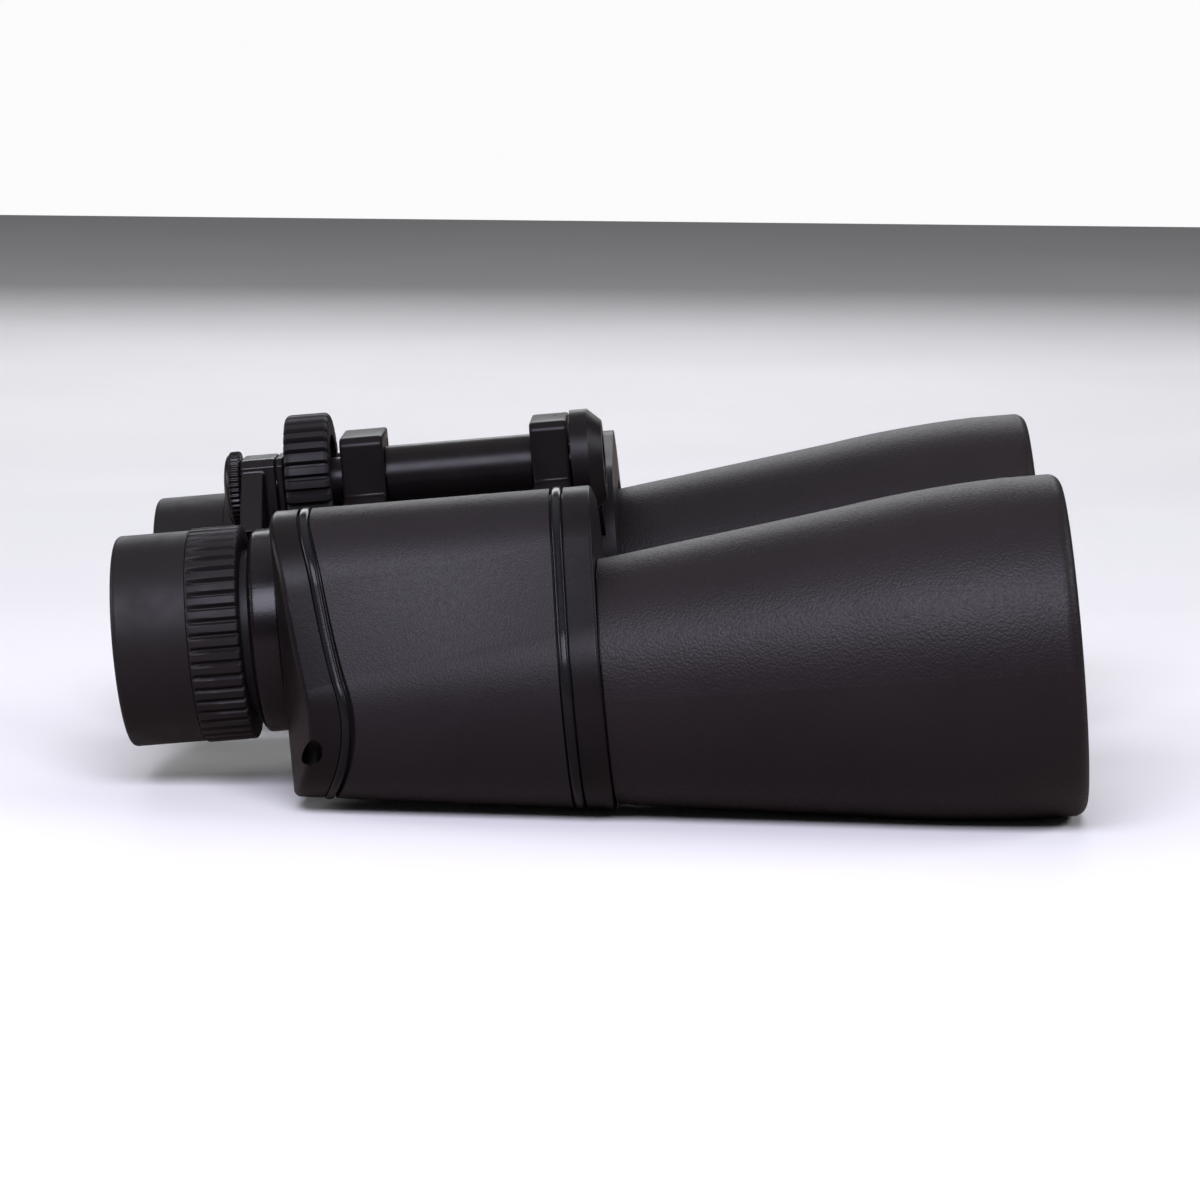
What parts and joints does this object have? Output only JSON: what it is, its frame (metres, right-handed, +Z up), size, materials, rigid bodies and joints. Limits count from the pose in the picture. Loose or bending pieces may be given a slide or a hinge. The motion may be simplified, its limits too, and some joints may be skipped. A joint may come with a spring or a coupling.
{
  "type": "binoculars",
  "caption": "Porro-prism binoculars with 50 mm objectives, folding centre hinge, centre focusing wheel, dioptre ring and rubber eyecups.",
  "frame": {"origin": "centre of the tripod socket's mouth, on the hinge axis at the front face of the front plates", "axes": "+Y forward along the optical axes, +X to the user's right, +Z up"},
  "size_m": [0.1658, 0.1739, 0.0788],
  "materials": {
    "housing_metal": "black painted die casting",
    "armour_rubber": "fine leather-grained armour",
    "barrel_rubber": "leather-grained rubber armour",
    "cover_metal": "satin black",
    "gloss_trim": "polished black",
    "barrel_metal": "matt black anodised",
    "bridge_metal": "satin black anodised",
    "cell_metal": "black anodised",
    "steel": "turned steel",
    "glass": "coated optical glass",
    "cup_rubber": "smooth matt rubber",
    "wheel_rubber": "ribbed rubber"
  },
  "bodies": {
    "right_telescope": {"prism_housing_right": "housing_metal", "housing_armour_right": "armour_rubber", "rear_trim_right": "gloss_trim", "front_trim_right": "gloss_trim", "rear_cover_right": "cover_metal", "front_plate_right": "cover_metal", "rear_prism_right": "glass", "front_prism_right": "glass", "prism_shelf_right": "housing_metal", "rear_prism_clip_right": "steel", "barrel_armour_right": "barrel_rubber", "objective_barrel_right": "barrel_metal", "objective_cell_right": "cell_metal", "objective_retainer_right": "cell_metal", "objective_crown_right": "glass", "objective_flint_right": "glass", "hinge_axle": "bridge_metal"},
    "left_telescope": {"prism_housing_left": "housing_metal", "housing_armour_left": "armour_rubber", "rear_trim_left": "gloss_trim", "front_trim_left": "gloss_trim", "rear_cover_left": "cover_metal", "front_plate_left": "cover_metal", "rear_prism_left": "glass", "front_prism_left": "glass", "prism_shelf_left": "housing_metal", "rear_prism_clip_left": "steel", "barrel_armour_left": "barrel_rubber", "objective_barrel_left": "barrel_metal", "objective_cell_left": "cell_metal", "objective_retainer_left": "cell_metal", "objective_crown_left": "glass", "objective_flint_left": "glass"},
    "focus_wheel": {"focus_wheel_grip": "wheel_rubber", "focus_wheel_core": "cover_metal", "focus_nut": "bridge_metal"},
    "right_ocular": {"bridge_arm_right": "bridge_metal", "eyepiece_tube_right": "barrel_metal", "field_stop_right": "cell_metal", "field_lens_right": "glass", "focus_spindle": "steel", "bridge_end_disc": "bridge_metal"},
    "left_ocular": {"bridge_arm_left": "bridge_metal", "eyepiece_tube_left": "barrel_metal", "field_stop_left": "cell_metal", "field_lens_left": "glass", "ocular_cell_left": "cell_metal", "eye_lens_left": "glass", "eyecup_left": "cup_rubber", "eyepiece_sleeve_left": "cup_rubber"},
    "dioptre_carrier": {"ocular_cell_right": "cell_metal", "eye_lens_right": "glass"},
    "dioptre_ring": {"dioptre_ring_right": "cup_rubber", "eyecup_right": "cup_rubber"}
  },
  "joints": [
    {"name": "hinge_fold", "type": "hinge", "parent": "right_telescope", "child": "left_telescope", "pos_m": [0, 0, 0], "axis": [0, 1, 0], "range_deg": [0, 55]},
    {"name": "focus_turn", "type": "hinge", "parent": "right_telescope", "child": "focus_wheel", "pos_m": [0, -0.054, 0], "axis": [0, 1, 0], "range_deg": [0, 450]},
    {"name": "focus_slide_right", "type": "slide", "parent": "right_telescope", "child": "right_ocular", "axis": [0, -1, 0], "range_m": [0, 0.00699]},
    {"name": "focus_slide_left", "type": "slide", "parent": "left_telescope", "child": "left_ocular", "axis": [0, -1, 0], "range_m": [0, 0.007]},
    {"name": "dioptre_slide", "type": "slide", "parent": "right_ocular", "child": "dioptre_carrier", "axis": [0, -1, 0], "range_m": [-0.0011, 0.0011]},
    {"name": "dioptre_turn", "type": "hinge", "parent": "dioptre_carrier", "child": "dioptre_ring", "pos_m": [0.0287, -0.07, -0.0234], "axis": [0, 1, 0], "range_deg": [-44, 44]}
  ],
  "couplings": [
    {"joint": "focus_turn", "follows": "focus_slide_right", "rad_per_m": 1122.3},
    {"joint": "focus_slide_left", "follows": "focus_slide_right", "ratio": 1},
    {"joint": "dioptre_slide", "follows": "dioptre_turn", "m_per_rad": 0.001432}
  ]
}
